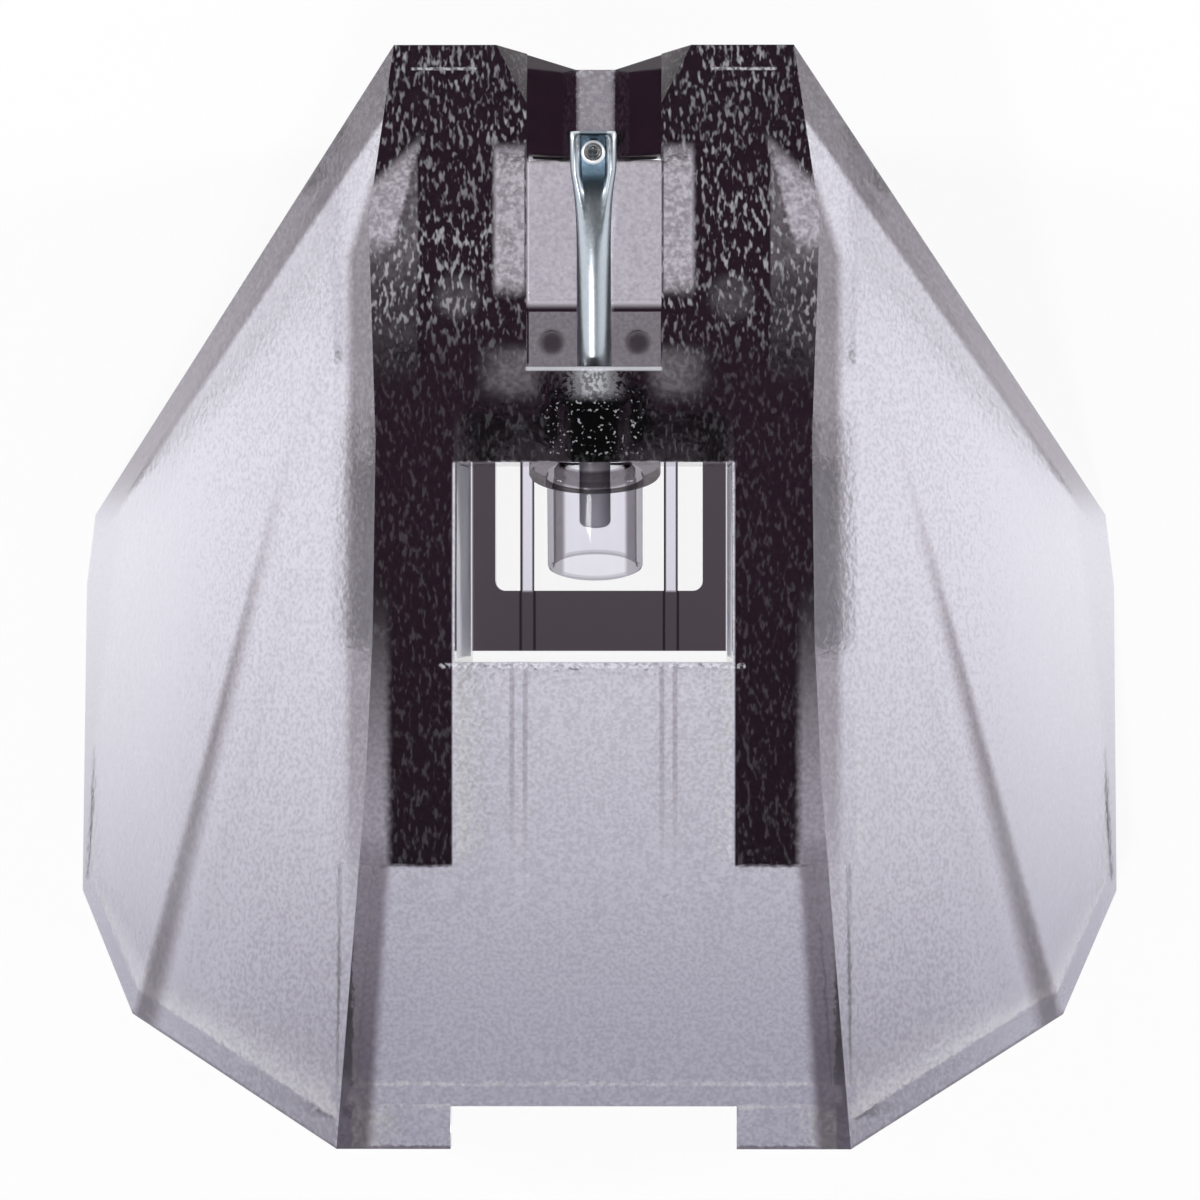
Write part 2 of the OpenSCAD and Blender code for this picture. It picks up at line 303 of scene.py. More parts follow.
def smoke_and_shade_tint(finish, smoke, sizes):
    """The tint of one wall from its smoke and painted shade: clear at 0, brownish in between and nearly black at 1.
    """
    light = 1 - smoke.smaller(1)
    middle = finish.mix(light, tuple(sizes.smoke_tint), tuple(sizes.clear_tint))
    return finish.mix(light * light, tuple(sizes.core_tint), middle)


def clear_skin(finish, colour, roughness):
    """The see-through plastic of the hood."""
    finish.set(Base_Color=colour, Transmission_Weight=1.0, IOR=PLASTIC_IOR, Roughness=roughness)


def with_matt_spots(finish, spots, grain):
    """Mixes a pale matt surface into the clear one, for painted highlights, glints and light and for pale grain."""
    matt = finish.tree.nodes.new("ShaderNodeBsdfPrincipled")
    finish.feed(matt.inputs["Base Color"], finish.mix(grain, (0.72, 0.72, 0.78), (0.86, 0.86, 0.92)))
    finish.feed(matt.inputs["Roughness"], 0.45 + 0.2 * grain)
    finish.cover(spots, matt.outputs[0])


def strip_finish(sizes):
    """The pebbled top strip, dark over the rails and the nose block from smoke and painted shade, with painted glints
    on its grains and painted highlights.
    """
    finish = Finish("clear_grey_strip")
    x, y, _ = finish.place()
    side = x.size()
    pebble = finish.grain(sizes.pebble_size, 1.5)
    fine = finish.grain(sizes.pebble_size * 0.5, 1.0)
    wobble = (pebble - 0.5) * 0.08
    # smoke and painted shade of the strip
    smoke = strip_smoke_and_shade(side, side + wobble, y + wobble, pebble)
    glint_spots = painted_glints(finish, side, y, fine, sizes) * smoke
    shade = finish.mix(fine.between(0.3, 0.7), (0.66, 0.65, 0.67), (1, 1, 1))
    clear_skin(finish, finish.tinted(smoke_and_shade_tint(finish, smoke, sizes), shade), 0.22 + 0.05 * pebble)
    finish.bump(pebble, sizes.pebble_depth)
    with_matt_spots(finish, strip_painted_highlights(side, y, fine).bigger(glint_spots), pebble)
    return finish.material


def painted_glints(finish, side, y, fine, sizes):
    """Painted glints: short pale strokes on the grains, thick on the nose, faint on the rails and dotted over the
    bore.
    """
    slanted = finish.stretched((0, 0, 0.7), (1, 0.42, 1))
    strokes = finish.grain(0.55 * sizes.pebble_size, 1.0, slanted).between(0.5, 0.72)
    patchy = 0.6 + 0.6 * finish.grain(0.8, 0.0).between(0.35, 0.65)
    nose = (0.04 + 0.31 * y.between(3.6, 5.2) * patchy) * strokes * y.between(-4.5, -4.4)
    bore = side.below(0.7, 0.9) * y.below(3.2, 3.5) * y.between(2.3, 2.4)
    return (nose * (1 - bore)).bigger(bore * fine.between(0.62, 0.72) * 0.4)


def facet_finish(sizes):
    """The pebbled facets and outer walls, with painted light near the wide rear corners."""
    finish = Finish("clear_grey_facets")
    x, y, _ = finish.place()
    side = x.size()
    pebble = finish.grain(sizes.pebble_size, 1.5)
    wobble = (pebble - 0.5) * 0.04
    # the painted shade of the facets, tinted like smoke
    smoke = facet_painted_shade(side + wobble, y + wobble)
    fine = finish.grain(sizes.pebble_size * 0.6, 1.0)
    plain = side.between(5.5, 8.3)
    shade = finish.mix((fine.between(0.3, 0.7) + plain).smaller(1), (0.68, 0.67, 0.69), (1, 1, 1))
    # painted light: the colour turns white towards the outer wings near the rear corners
    painted_rim_light = side.between(6.4, 8.9) * y.between(-6.0, -3.0) * y.below(0.5, 2.5) * 0.9
    colour = finish.mix(painted_rim_light, finish.tinted(smoke_and_shade_tint(finish, smoke, sizes), shade), (1, 1, 1))
    clear_skin(finish, colour, 0.22 + 0.05 * pebble)
    finish.bump(pebble, sizes.pebble_depth * 0.6)
    # painted highlight on the flat floor of the valley
    valley = side.below(0.3, 0.36) * y.between(7.2, 7.4) * 0.4
    with_matt_spots(finish, fine.between(0.5, 0.66) * (0.06 + valley), pebble)
    return finish.material


def inner_finish(sizes):
    """The glossy inner faces of the moulding."""
    finish = Finish("clear_grey_inside")
    x, y, z = finish.place()
    side = x.size()
    ripple = finish.grain(0.9, 1.0)
    fine = finish.grain(0.07, 1.0)
    clear_skin(finish, smoke_and_shade_tint(finish, inner_smoke_and_shade(side, y, z, fine), sizes), 0.05 + 0.06 * ripple)
    finish.bump(ripple, 0.003)
    with_matt_spots(finish, inner_painted_light(side, y, z), ripple)
    return finish.material


def strip_smoke_and_shade(side, soft_side, y, pebble):
    """How dark the top strip is: the smoke of the thick rails and nose block, deepened by painted shade, with painted
    light in the nose and painted shade along the slot walls, along its edges at the tail and over the ribs.
    """
    # the thick rails and nose block: dark smoke deepened by painted shade, less along the rails' outer edges towards
    # the tail
    outer = soft_side.between(3.3, 3.5) * y.below(-4.2, 0.6) * 0.6
    rails = side.between(2.32, 2.36) * (1 - outer) * y.between(-4.5, -4.42)
    block = y.between(2.2, 2.26) * (0.95 + 0.05 * y.between(2.4, 3.4))
    # painted light in the nose, partly where the plastic is thinner: under the slot, beside it, along the facets,
    # over the bore and at the moulding marks
    pocket = soft_side.below(1.6, 1.72) * y.between(4.9, 5.3) * y.below(7.3, 7.6) * 0.6
    above = (soft_side * 0.946 + y).below(10.15, 10.5)
    patch = (soft_side + y * 0.24).between(4.64, 4.8) * above * y.between(5.5, 6.1) * 0.6
    painted_haze = side.between(0.75, 1.2) * side.below(1.4, 2.1) * y.between(3.1, 3.6) * y.below(3.9, 4.3) * 0.18
    ring = square_distance(side, y, MARK).below(0.02, 0.24) * 0.1
    flank = side.between(2.91, 2.95) * above * (0.06 * y.between(3.2, 4.4) + 0.1 * y.between(4.9, 5.9))
    light = pocket.bigger(patch).bigger(flank).bigger(painted_haze).bigger(ring)
    light = light * (0.8 + 0.4 * pebble.between(0.35, 0.65))
    # painted shade along the walls of the slot
    slot_wall_shade = side.near(1.14, 0.01, 0.04) * y.between(3.82, 3.84) * 0.85
    core = ((rails + block).smaller(1) * (1 - light)).bigger(slot_wall_shade)
    # painted shade along the strip's edges towards the tail
    edge = soft_side - 3.3 - (-3 - y).bigger(0) * 0.065
    edge = edge.between(-0.1, 0.12) * y.below(-4.4, -3.0) * (0.56 + 0.1 * (-5 - y).between(0, 3))
    # painted shade across the end of the tail
    tail = y.below(-9.12, -9.08) * 0.5
    # painted shade over the pairs of ribs
    ribs = (side - RIB_X).size().near(0.11, 0.02, 0.06) * y.below(-1.2, -1.1) * y.between(-5.2, -2.2) * 0.26
    return core.bigger(edge.bigger(tail)).bigger(ribs)


def strip_painted_highlights(side, y, fine):
    """Painted highlights in pale matt: lines over the window, the slot end and the front legs, and a painted glow
    over the arm's neck.
    """
    grains = fine.between(0.42, 0.6)
    end = side.below(1.1, 1.16) * y.near(3.78, 0.015, 0.05)
    legs = side.between(1.93, 1.97) * side.below(3.0, 3.05) * y.near(8.76, 0.01, 0.035) * 0.7
    rear = side.below(2.5, 2.6) * y.near(-1.15, 0.02, 0.06)
    neck = (side + 0.2 * grains).below(0.25, 0.62) * y.between(3.2, 3.45) * y.below(3.7, 3.85)
    matt = end * 0.6 + legs * (0.2 + 0.6 * grains) + rear * grains * 0.5 + neck * (0.2 + 0.35 * grains)
    return matt.smaller(0.8)


def inner_painted_light(side, y, z):
    """The inner walls of the channel beside the window, made pale and matt to show as light strips: a painted light.
    """
    wall = side.between(2.17, 2.19) * side.below(2.36, 2.38) * z.between(1.2, 1.3) * z.below(6.4, 6.5)
    return wall * y.between(-1.05, -1.0) * y.below(2.2, 2.22)


def facet_painted_shade(side, y):
    """Painted shade on the facets: the shadow of the rails beside the strip, dark bands along the ridges, the front
    edges and the outer edges, and a darkening towards the tail.
    """
    reach = (3.54 + (7.3 - y) * 0.33).smaller(4.08)
    shadow = (side - reach).below(-0.1, 0.12) * (0.5 + 0.12 * y.between(0.5, 3.0))
    shadow = shadow * y.between(-7.0, -1.2) * y.below(6.9, 7.3)
    # painted shade along the ridges, wider towards the tail
    crease = NOSE_HALF + (FRONT_Y - y) * STRIP_SPREAD - side
    wide = (2.3 - y).bigger(0) * 0.042
    ridge = crease.between(-0.05, 0.14) * (crease - wide).below(-0.12, 0.24) * y.below(-1.0, 3.6) * 0.62
    # painted shade over the front valley, less along its middle
    front = y.between(6.6, 6.7) * side.below(3.0, 3.1) * (0.57 + 0.43 * side.between(0.24, 0.38))
    # painted shade in a band along the slanted front edges
    inward = (FRONT_Y - y - (side - NOSE_HALF) * FRONT_SLOPE) * FRONT_SHRINK
    wall = (inward - 0.33 - (y - 1.45) * 0.036).below(-0.05, 0.06)
    wall = wall * (0.4 + (y - 1.4) * 0.045) * y.between(1.0, 2.0)
    # painted shade along the outer rear edges
    outline = (y - SHOULDER_Y - (side - SHOULDER_X) * TAIL_SLOPE).below(0.02, 0.08) * 0.45
    # painted shade, darker towards the tail
    low = (-3 - y).between(0, 5.5) * side.below(4.0, 8.0) * 0.15
    return shadow.bigger(ridge).bigger(front).bigger(wall).bigger(outline).bigger(low)


def inner_smoke_and_shade(side, y, z, fine):
    """How dark the inner faces are: the smoke of the thick rails and nose block with its valley walls, and painted
    shade on the slot's floor, step, dimples and walls, and on the floor frame with dark lines along its bars.
    """
    under = z.below(2.6, 2.7)
    pocket = side.below(1.6, 1.7) * y.between(4.8, 5.0) * y.below(7.3, 7.4)
    bore = side.below(0.8, 0.9) * y.below(3.4, 3.5)
    # the thick nose block with its valley walls: dark smoke deepened by painted shade, clear under the pocket and on
    # its underside except below the bore
    block = y.between(2.2, 2.26) * (1 - pocket) * (1 - under * (1 - bore)) * side.below(4.02, 4.08)
    # painted shade on the slot's floor, with grain
    floor = pocket * side.below(1.1, 1.12) * z.between(5.4, 5.45) * z.below(5.6, 5.65) * (0.2 + 0.36 * fine)
    # the slot's step less dark than the block, with painted shade in its dimples
    step = side.below(1.1, 1.14) * y.between(3.79, 3.81) * y.below(4.77, 4.8) * z.between(5.5, 5.54)
    dimple = square_distance(side, y, DIMPLE).between(0.005, 0.07)
    step = step * (0.06 + 0.2 * dimple) * (0.7 + 0.6 * fine)
    # the thick rails: dark smoke deepened by painted shade
    rails = side.between(2.38, 2.42) * side.below(3.45, 3.6) * y.between(-4.5, -4.47) * y.below(4, 4.1)
    rails = rails * z.between(0.5, 0.6)
    # painted shade along the walls of the slot
    slot = side.between(1.1, 1.105) * side.below(1.14, 1.145) * y.between(3.85, 3.9) * z.between(5.65, 5.7)
    core = (rails + block * (1 - step)).smaller(1).bigger(slot)
    # painted shade on the floor frame, lighter over the openings between the bars, with dark lines along them
    bar = (side - RIB_X).size()
    open_part = y.between(0.06, 0.12) * bar.below(0.14, 0.17)
    lines = bar.near(0.12, 0.015, 0.05) * 0.83
    plate = (0.68 * (1 - open_part)).bigger(lines)
    plate = plate * side.below(2.18, 2.2) * y.between(-0.95, -0.93) * z.below(1.22, 1.3) * y.below(2.95, 3.0)
    return core.bigger(plate).bigger(floor)


def clear_finish():
    """Faintly grey clear plastic of the sleeve, greyer in its flange, with painted shade along its sides and at its
    rim.
    """
    finish = Finish("clear_plastic")
    x, y, z = finish.place()
    along = along_arm(y, z)
    # painted shade along both sides of the sleeve, where its wall is seen edge on
    wall = x.size().between(0.48, 0.56) * 0.55
    flange = along.between(-0.24, -0.2) * along.below(0.0, 0.05) * 0.86
    # painted shade at the rim of the open end
    rim = along.near(-1.8, 0.03, 0.06) * 0.5
    grey = wall.bigger(flange).bigger(rim) + 0.06 * finish.grain(0.3)
    finish.set(
        Base_Color=finish.mix(grey, (0.96, 0.96, 0.98), (0.2, 0.17, 0.19)),
        Transmission_Weight=1.0,
        IOR=1.02,
        Coat_Weight=0.2 + 0.2 * finish.grain(0.5),
        Roughness=0.04 + 0.06 * finish.grain(0.2),
    )
    finish.bump(finish.grain(0.35, 1.0), 0.002)
    return finish.material


def rubber_finish():
    """Dull black rubber."""
    finish = Finish("damper_rubber")
    fine = finish.grain(0.05)
    finish.set(
        Base_Color=finish.mix(fine, (0.008, 0.012, 0.014), (0.03, 0.045, 0.05)),
        Roughness=0.45 + 0.2 * fine,
    )
    finish.bump(fine, 0.004)
    return finish.material


def metal_finish(name, low, high, roughness, size, metallic=1.0):
    """Metal with fine drawing lines and small changes of colour and gloss."""
    finish = Finish(name)
    lines = finish.grain(size, point=finish.stretched((-ARM_TILT, 0, 0), (1, 0.06, 1)))
    spots = finish.grain(size * 4)
    finish.set(
        Base_Color=finish.mix(spots, low, high),
        Metallic=metallic,
        Roughness=roughness + 0.14 * lines,
    )
    finish.bump(lines, 0.0015)
    return finish.material


def arm_finish(colour):
    """The drawn tube: bright, with a painted dark blue reflection on its pressed flat."""
    finish = Finish("arm_aluminium")
    x, y, z = finish.place()
    along = along_arm(y, z)
    fine = finish.grain(0.06)
    # painted dark blue reflection on the pressed flat
    dark_reflection = (along - 4.45).between(0.0, 0.5) * (x.size() + (5.0 - along).bigger(0) * 0.3).below(0.2, 0.26)
    bright = finish.mix(fine, tuple(0.85 * c for c in colour), tuple(colour))
    finish.set(
        Base_Color=finish.mix(dark_reflection * (0.9 + 0.1 * fine), bright, (0.07, 0.12, 0.17)),
        Metallic=1.0,
        Roughness=0.26 + 0.1 * fine,
    )
    finish.bump(fine, 0.001)
    return finish.material


def diamond_finish():
    """Clear, faintly warm diamond with small facets."""
    finish = Finish("diamond")
    facets = finish.add("ShaderNodeTexVoronoi", None, {"Vector": finish.point, "Scale": 1 / (0.06 * MM)})
    finish.set(
        Base_Color=finish.mix(facets, (0.75, 0.74, 0.7), (0.95, 0.95, 0.93)),
        Transmission_Weight=1.0,
        IOR=2.4,
        Roughness=0.03 + 0.05 * facets,
    )
    finish.bump(facets, 0.004)
    return finish.material


def table_finish(colour):
    """The white light table: it glows for the camera and through the clear parts, dimmer towards the tail."""
    finish = Finish("light_table")
    _, y, _ = finish.place()
    path = finish.tree.nodes.new("ShaderNodeLightPath")
    camera, glossy, through, diffuse = (
        Value(finish, path.outputs[f"Is {kind} Ray"]) for kind in ("Camera", "Glossy", "Transmission", "Diffuse")
    )
    seen = camera.bigger(glossy).bigger(through).bigger(diffuse * 0.6)
    finish.set(Base_Color=finish.mix(finish.grain(3.0), tuple(colour), (0.96, 0.96, 0.97)), Roughness=0.9)
    back = finish.mix((0 - y).between(-3, 10), (0.95, 0.94, 1.0), (0.42, 0.41, 0.49))
    glow = finish.add("ShaderNodeEmission", None, {"Color": finish.mix(through, (1, 1, 1), back), "Strength": 1.0})
    finish.cover(seen * 0.9, glow)
    # The table is no lamp to be sampled: its glow is found by chance, which saves render time.
    finish.material.cycles.emission_sampling = "NONE"
    return finish.material


# ---------------------------------------------------------------- modelling help


def only(piece):
    """Selects one object and nothing else."""
    if bpy.context.object and bpy.context.object.mode != "OBJECT":
        bpy.ops.object.mode_set(mode="OBJECT")
    bpy.ops.object.select_all(action="DESELECT")
    piece.select_set(True)
    bpy.context.view_layer.objects.active = piece


def editing(piece):
    """Opens one object in edit mode."""
    only(piece)
    bpy.ops.object.mode_set(mode="EDIT")


def done(piece, matrix=None):
    """Leaves edit mode, places the piece and puts its place into its mesh, in metres."""
    bpy.ops.object.mode_set(mode="OBJECT")
    only(piece)
    piece.matrix_world = Matrix.Scale(MM, 4) @ (matrix or Matrix.Identity(4))
    bpy.ops.object.transform_apply(location=True, rotation=True, scale=True)


def smooth(piece, angle):
    """Shades smooth, with sharp edges from that angle on, in degrees."""
    only(piece)
    bpy.ops.object.shade_smooth_by_angle(angle=math.radians(angle))


def on_arm(along=0):
    """The frame of the arm: Z along it to the front, from the rear face of the nose block."""
    tilt = Matrix.Rotation(ARM_TILT - math.pi / 2, 4, "X")
    return Matrix.Translation(ARM_FOOT) @ tilt @ Matrix.Translation((0, 0, along))


def turned(name, profile, steps):
    """A ring turned round Z from a closed profile of radius and height, in mm."""
    bpy.ops.object.select_all(action="DESELECT")
    bpy.ops.mesh.primitive_plane_add(size=1)
    piece = bpy.context.object
    piece.name = name
    editing(piece)
    bpy.ops.mesh.select_all(action="SELECT")
    bpy.ops.mesh.merge(type="CENTER")
    here = Vector((profile[0][0], 0, profile[0][1]))
    bpy.ops.transform.translate(value=here)
    for radius, height in profile[1:] + profile[:1]:
        there = Vector((radius, 0, height))
        bpy.ops.mesh.extrude_vertices_move(TRANSFORM_OT_translate={"value": there - here})
        here = there
    bpy.ops.mesh.select_all(action="SELECT")
    bpy.ops.mesh.remove_doubles(threshold=0.0005)
    bpy.ops.mesh.select_all(action="SELECT")
    bpy.ops.mesh.spin(steps=steps, angle=2 * math.pi, center=(0, 0, 0), axis=(0, 0, 1))
    bpy.ops.mesh.select_all(action="SELECT")
    bpy.ops.mesh.remove_doubles(threshold=0.0005)
    bpy.ops.mesh.select_all(action="SELECT")
    bpy.ops.mesh.normals_make_consistent(inside=False)
    return piece


def dress(piece, materials, body, slot, *nodes):
    """Gives a piece its finish and its body, and hides the parts that it stands for."""
    piece.data.materials.clear()
    for each in materials:
        piece.data.materials.append(each)
    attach(piece, body)
    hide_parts(*nodes)
    return piece


# ---------------------------------------------------------------- pieces


class STYLUS_OT_hood(bpy.types.Operator):
    """The clear grey hood, with rounded edges and a finish each for its strip, facets and inside"""

    bl_idname = "stylus.hood"
    bl_label = "Hood"

    def execute(self, context):
        sizes = context.scene.stylus_hood
        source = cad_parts["housing"]
        piece = bpy.data.objects.new("hood_moulding", source.data.copy())
        context.scene.collection.objects.link(piece)
        only(piece)
        piece.matrix_world = Matrix.Scale(1 / MM, 4)
        bpy.ops.object.transform_apply(location=True, rotation=True, scale=True)
        editing(piece)
        bpy.ops.mesh.select_all(action="SELECT")
        self.close_ledge(piece)
        bpy.ops.mesh.remove_doubles(threshold=0.002)
        bpy.ops.mesh.dissolve_degenerate(threshold=0.001)
        bpy.ops.mesh.select_all(action="SELECT")
        bpy.ops.mesh.dissolve_limited(angle_limit=math.radians(0.3))
        bpy.ops.object.mode_set(mode="OBJECT")
        if sizes.edge_round > 0:
            rounding = piece.modifiers.new("edge_round", "BEVEL")
            rounding.width = sizes.edge_round
            rounding.segments = 2
            rounding.limit_method = "ANGLE"
            rounding.angle_limit = math.radians(20)
            only(piece)
            bpy.ops.object.modifier_apply(modifier=rounding.name)
        skin = self.kinds(piece)
        done(piece)
        smooth(piece, 30)
        flats = piece.modifiers.new("flat_faces", "WEIGHTED_NORMAL")
        flats.keep_sharp = True
        flats.weight = 90
        bpy.ops.object.modifier_apply(modifier=flats.name)
        finishes = [inner_finish(sizes), facet_finish(sizes), strip_finish(sizes)]
        dress(piece, finishes, "hood", "clear_grey_plastic", "housing")
        piece.data.polygons.foreach_set("material_index", skin)
        return {"FINISHED"}

    def close_ledge(self, piece):
        """Closes a ledge of a few thousandths of a mm beside the window, which the rounding would widen."""
        mesh = bmesh.from_edit_mesh(piece.data)
        for vert in mesh.verts:
            if 2.28 < abs(vert.co.x) < 2.3 and 6.5 < vert.co.z < 6.62:
                vert.co.x = math.copysign(LEDGE_X, vert.co.x)
        bmesh.update_edit_mesh(piece.data)

    def kinds(self, piece):
        """The finish of each face: 2 on the top strip, 1 on the other outer faces and 0 inside."""
        mesh = piece.data
        corners = [v.co for v in mesh.vertices if v.co.x > 0]
        kinds = []
        for face in mesh.polygons:
            normal = face.normal
            flat = normal.z > 0.95
            top = flat and min(mesh.vertices[i].co.z for i in face.vertices) > STRIP_LOW_Z
            valley = flat and abs(face.center.z - VALLEY_Z) < 0.03 and face.center.y > 6.7
            outside = valley or (normal.z > 0.15 and self.is_outside(face, corners))
            kinds.append(2 if top else 1 if outside else 0)
        return kinds

    def is_outside(self, face, corners):
        """True when no corner of the moulding lies in front of the face."""
        normal = face.normal.copy()
        centre = face.center.copy()
        if centre.x < 0:
            normal.x, centre.x = -normal.x, -centre.x
        level = centre.dot(normal) + 0.08
        return all(corner.dot(normal) < level for corner in corners)


class STYLUS_OT_sleeve(bpy.types.Operator):
    """The clear sleeve with its flange, its spigot and a rounded rim"""

    bl_idname = "stylus.sleeve"
    bl_label = "Sleeve"

    def execute(self, context):
        rim = -1.82
        profile = [
            (0.68, rim + 0.05),
            (0.695, rim + 0.015),
            (0.74, rim),
            (0.785, rim + 0.02),
            (0.8, rim + 0.06),
            (0.8, -0.22),
            (0.82, -0.2),
            (1.08, -0.2),
            (1.1, -0.17),
            (1.1, -0.03),
            (1.08, 0),
            (0.62, 0),
            (0.6, 0.02),
            (0.6, 1.07),
            (0.57, 1.1),
            (0.4, 1.1),
            (0.4, 0.98),
            (0.51, 0.98),
            (0.51, -0.1),
            (0.66, -0.1),
            (0.68, -0.13),
        ]
        piece = turned("clear_plug_sleeve", profile, 72)
        done(piece, on_arm())
        smooth(piece, 40)
        dress(piece, [clear_finish()], "hood", "clear_plastic", "clear_sleeve")
        return {"FINISHED"}


class STYLUS_OT_damper(bpy.types.Operator):
    """The rubber damper ring with soft edges"""

    bl_idname = "stylus.damper"
    bl_label = "Damper"

    def execute(self, context):
        profile = [
            (0.32, 0.36),
            (0.36, 0.32),
            (0.44, 0.32),
            (0.475, 0.36),
            (0.475, 0.88),
            (0.44, 0.92),
            (0.36, 0.92),
            (0.32, 0.88),
        ]
        piece = turned("rubber_damper", profile, 48)
        done(piece, on_arm())
        smooth(piece, 50)
        dress(piece, [rubber_finish()], "bearing", "damper_rubber", "damper")
        return {"FINISHED"}


class STYLUS_OT_magnet(bpy.types.Operator):
    """The rod magnet with ground ends"""

    bl_idname = "stylus.magnet"
    bl_label = "Magnet"

    def execute(self, context):
        profile = [(0.0, -1.06), (0.225, -1.06), (0.25, -1.03), (0.26, -1.0), (0.26, 0.5), (0.0, 0.5)]
        piece = turned("rod_magnet", profile, 40)
        done(piece, on_arm())
        smooth(piece, 30)
        metal = metal_finish("magnet_metal", (0.42, 0.4, 0.45), (0.52, 0.5, 0.56), 0.6, 0.05, metallic=0.2)
        dress(piece, [metal], "arm", "magnet_metal", "magnet")
        return {"FINISHED"}


class STYLUS_OT_arm(bpy.types.Operator):
    """The drawn tube, crushed flat at its front end between two rolled rims"""

    bl_idname = "stylus.arm"
    bl_label = "Stylus arm"

    def execute(self, context):
        sizes = context.scene.stylus_arm
        level = 0.21
        bpy.ops.object.select_all(action="DESELECT")
        bpy.ops.mesh.primitive_circle_add(vertices=48, radius=0.29, fill_type="NGON")
        piece = bpy.context.object
        piece.name = "arm_cantilever"
        editing(piece)
        bpy.ops.mesh.select_all(action="SELECT")
        bpy.ops.transform.translate(value=(0, 0, level))
        # along the arm, half width, half height and how far it is crushed
        stations = [
            (0.24, 0.29, 0.29, 0.0),
            (3.3, 0.288, 0.288, 0.0),
            (3.6, 0.286, 0.27, 0.0),
            (3.9, 0.286, 0.245, 0.0),
            (4.2, 0.292, 0.215, 0.08),
            (4.5, 0.308, 0.18, 0.25),
            (4.7, 0.328, 0.155, 0.5),
            (4.82, 0.344, 0.142, 0.75),
            (4.92, 0.358, 0.13, 0.95),
            (5.02, 0.372, 0.12, 1.0),
            (5.12, 0.384, 0.12, 1.0),
            (5.62, 0.388, 0.12, 1.0),
            (5.65, 0.388, 0.12, 0.7),
            (5.69, 0.386, 0.115, 0.35),
            (5.72, 0.375, 0.09, 0.3),
        ]
        for along, *_ in stations:
            bpy.ops.mesh.extrude_region_move(TRANSFORM_OT_translate={"value": (0, 0, along - level)})
            level = along
        self.press_rings(piece, stations, sizes.rim_width)
        bpy.ops.mesh.select_all(action="SELECT")
        bpy.ops.mesh.normals_make_consistent(inside=False)
        done(piece, on_arm())
        smooth(piece, 40)
        dress(piece, [arm_finish(sizes.metal)], "arm", "arm_aluminium", "arm_tube")
        return {"FINISHED"}

    def press_rings(self, piece, stations, rim):
        """Turns each round ring into an oval, pressed down between two rolled rims."""
        mesh = bmesh.from_edit_mesh(piece.data)
        for vert in mesh.verts:
            angle = math.atan2(vert.co.y, vert.co.x)
            for along, half, high, crush in stations:
                if abs(vert.co.z - along) < 1e-4:
                    x = half * math.cos(angle)
                    y = high * math.sin(angle)
                    off = (abs(x) - half + rim / 2) / (rim / 2)
                    roll = high * math.sqrt(max(0.0, 1 - off * off)) if off > -1 else 0.0
                    if y < 0:
                        y += crush * (-max(roll, 0.03) - y)
                    else:
                        y += crush * (max(roll, 0.1) - y) * 0.6
                    vert.co = Vector((x, y, along))
        bmesh.update_edit_mesh(piece.data)


class STYLUS_OT_stylus(bpy.types.Operator):
    """The collar, the shank and the diamond at the end of the arm"""

    bl_idname = "stylus.stylus"
    bl_label = "Stylus"

    def execute(self, context):
        upright = Matrix.Translation(on_arm(STYLUS_ALONG).translation)
        profile = [(0.0, -0.22), (0.12, -0.22), (0.13, -0.2), (0.13, 0.25), (0.125, 0.28), (0.105, 0.34)]
        profile += [(0.087, 0.36), (0.0, 0.36)]
        shank = turned("stylus_post", profile, 40)
        done(shank, upright)
        smooth(shank, 30)
        metal = metal_finish("shank_metal", (0.2, 0.19, 0.18), (0.4, 0.39, 0.37), 0.14, 0.03)
        dress(shank, [metal], "arm", "shank_metal", "stylus_shank")
        profile = [(0.135, -0.05), (0.2, -0.05), (0.208, 0.03), (0.2, 0.08), (0.18, 0.115), (0.155, 0.125)]
        profile += [(0.138, 0.11), (0.135, 0.08)]
        collar = turned("stylus_collar", profile, 40)
        done(collar, upright)
        smooth(collar, 60)
        metal = metal_finish("bright_collar", (0.9, 0.91, 0.93), (0.97, 0.98, 1.0), 0.3, 0.05, metallic=0.35)
        dress(collar, [metal], "arm", "arm_aluminium", "arm_tube")
        profile = [(0.0, 0.36), (0.086, 0.36), (0.086, 0.4), (0.075, 0.43), (0.02, 0.605), (0.01, 0.617), (0.0, 0.62)]
        tip = turned("diamond_tip", profile, 32)
        done(tip, upright)
        smooth(tip, 30)
        dress(tip, [diamond_finish()], "arm", "diamond", "diamond")
        return {"FINISHED"}


